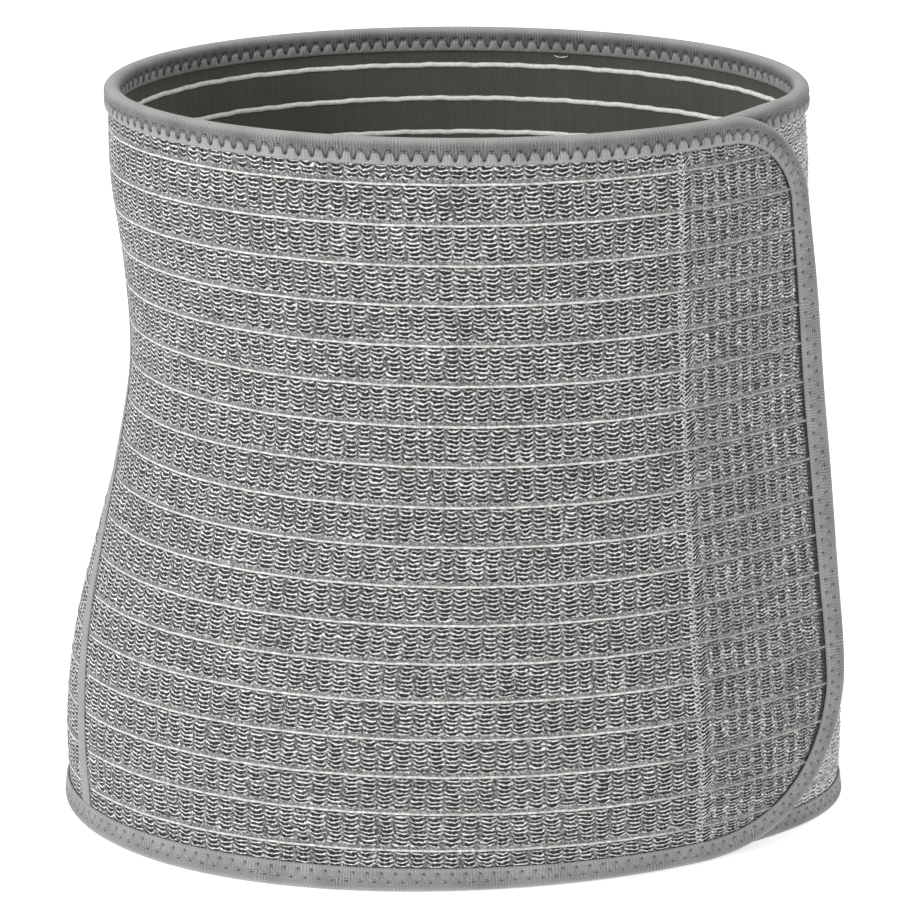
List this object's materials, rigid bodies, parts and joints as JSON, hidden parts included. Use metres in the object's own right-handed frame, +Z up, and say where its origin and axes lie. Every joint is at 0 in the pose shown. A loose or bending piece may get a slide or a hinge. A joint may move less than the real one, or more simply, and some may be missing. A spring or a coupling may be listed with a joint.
{
  "type": "abdominal binder",
  "caption": "Elastic wrap-around abdominal binder with horizontal stripes, bound edges and a rounded hook flap closing at the front side, standing open in its worn shape.",
  "frame": {"origin": "under the middle of the outline, on the surface that the lower edge stands on", "axes": "+Z up, front facing -Y, +X towards the side where the flap closes (the wearer's left)"},
  "size_m": [0.2572, 0.1984, 0.24],
  "materials": {
    "elastic_fabric": "grey striped knitted elastic with open columns, white stripe yarns, darker looped inner face",
    "binding_tape": "smooth matte grey knitted tape with zigzag stitching",
    "seam_tape": "plain light grey knitted tape",
    "hook_fabric": "dark grey hook tape"
  },
  "bodies": {
    "root": {"front_panel": "elastic_fabric", "back_panel": "elastic_fabric", "edge_binding": "binding_tape", "side_seam_tape": "seam_tape", "hook_panel": "hook_fabric"}
  },
  "joints": []
}
